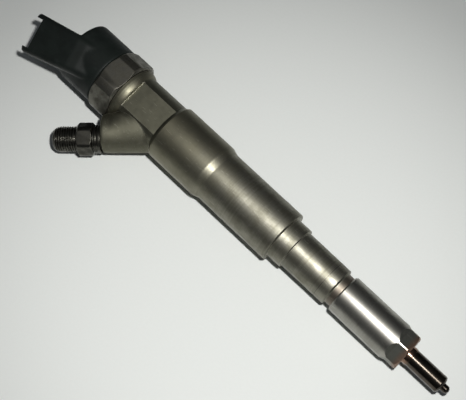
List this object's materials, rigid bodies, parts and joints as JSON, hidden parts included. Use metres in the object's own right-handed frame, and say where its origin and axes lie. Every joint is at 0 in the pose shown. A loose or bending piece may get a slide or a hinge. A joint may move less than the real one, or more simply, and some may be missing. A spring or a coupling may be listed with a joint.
{
  "type": "fuel injector",
  "caption": "Common-rail diesel injector with stepped steel body, clamping flats, angled threaded inlet, solenoid head, plug socket and nozzle.",
  "frame": {"origin": "centre of the upper clamping flat on the body's neck", "axes": "+X along the injector towards the nozzle tip, +Z the upper clamping flat's outward normal; the inlet arm points to -X and -Y"},
  "size_m": [0.2245, 0.0527, 0.0278],
  "materials": {
    "satin_steel": "turned satin steel, slightly oily",
    "ground_steel": "ground bright steel",
    "oxidised_steel": "heat-darkened ground steel",
    "dark_fitting_steel": "dark phosphated steel",
    "brown_nut_steel": "brown-grey phosphated steel",
    "spring_steel": "drawn spring wire",
    "soft_iron": "pressed iron powder",
    "enamelled_copper": "enamelled wire layers",
    "black_plastic": "moulded black glass-filled plastic",
    "natural_plastic": "natural engineering plastic",
    "tinned_brass": "tin plated",
    "seal_rubber": "moulded rubber",
    "valve_ball_steel": "polished ceramic-hard ball"
  },
  "bodies": {
    "injector": {"injector_body": "satin_steel", "nozzle_nut": "ground_steel", "nozzle_body": "oxidised_steel", "dowel_pin_a": "ground_steel", "dowel_pin_b": "ground_steel", "nozzle_spring": "spring_steel", "nozzle_spring_shim": "ground_steel", "inlet_fitting": "dark_fitting_steel", "inlet_bar_filter": "ground_steel", "valve_body": "ground_steel", "valve_seal_ring": "natural_plastic", "valve_clamp_nut": "ground_steel", "armature_guide": "ground_steel", "overtravel_shim": "ground_steel", "overtravel_spring": "spring_steel", "lift_shim": "ground_steel", "magnet_core": "soft_iron", "magnet_sleeve": "satin_steel", "coil_bobbin": "natural_plastic", "coil_winding": "enamelled_copper", "solenoid_spring": "spring_steel", "solenoid_spring_shim": "ground_steel", "return_tube": "ground_steel", "return_seal": "seal_rubber", "head_seal": "seal_rubber", "solenoid_nut": "brown_nut_steel", "connector_head": "black_plastic", "return_fitting": "tinned_brass", "terminal_pin_a": "tinned_brass", "terminal_pin_b": "tinned_brass"},
    "plunger": {"control_plunger": "ground_steel"},
    "needle": {"nozzle_needle": "ground_steel", "needle_spring_seat": "ground_steel"},
    "armature": {"armature_bolt": "ground_steel", "armature_clip": "spring_steel"},
    "plate": {"armature_plate": "soft_iron"},
    "ball": {"valve_ball": "valve_ball_steel", "ball_holder": "ground_steel"}
  },
  "joints": [
    {"name": "plunger_lift", "type": "slide", "parent": "injector", "child": "plunger", "axis": [-1, 0, 0], "range_m": [0, 0.00025]},
    {"name": "needle_lift", "type": "slide", "parent": "injector", "child": "needle", "axis": [-1, 0, 0], "range_m": [0, 0.00025], "deforming": ["nozzle_spring"]},
    {"name": "armature_lift", "type": "slide", "parent": "injector", "child": "armature", "axis": [-1, 0, 0], "range_m": [0, 0.00005], "deforming": ["solenoid_spring"]},
    {"name": "ball_lift", "type": "slide", "parent": "injector", "child": "ball", "axis": [-1, 0, 0], "range_m": [0, 0.00005]},
    {"name": "plate_overtravel", "type": "slide", "parent": "armature", "child": "plate", "axis": [1, 0, 0], "range_m": [0, 0.00003], "deforming": ["overtravel_spring"]}
  ],
  "couplings": [
    {"joint": "needle_lift", "follows": "plunger_lift", "ratio": 1},
    {"joint": "ball_lift", "follows": "armature_lift", "ratio": 1}
  ]
}
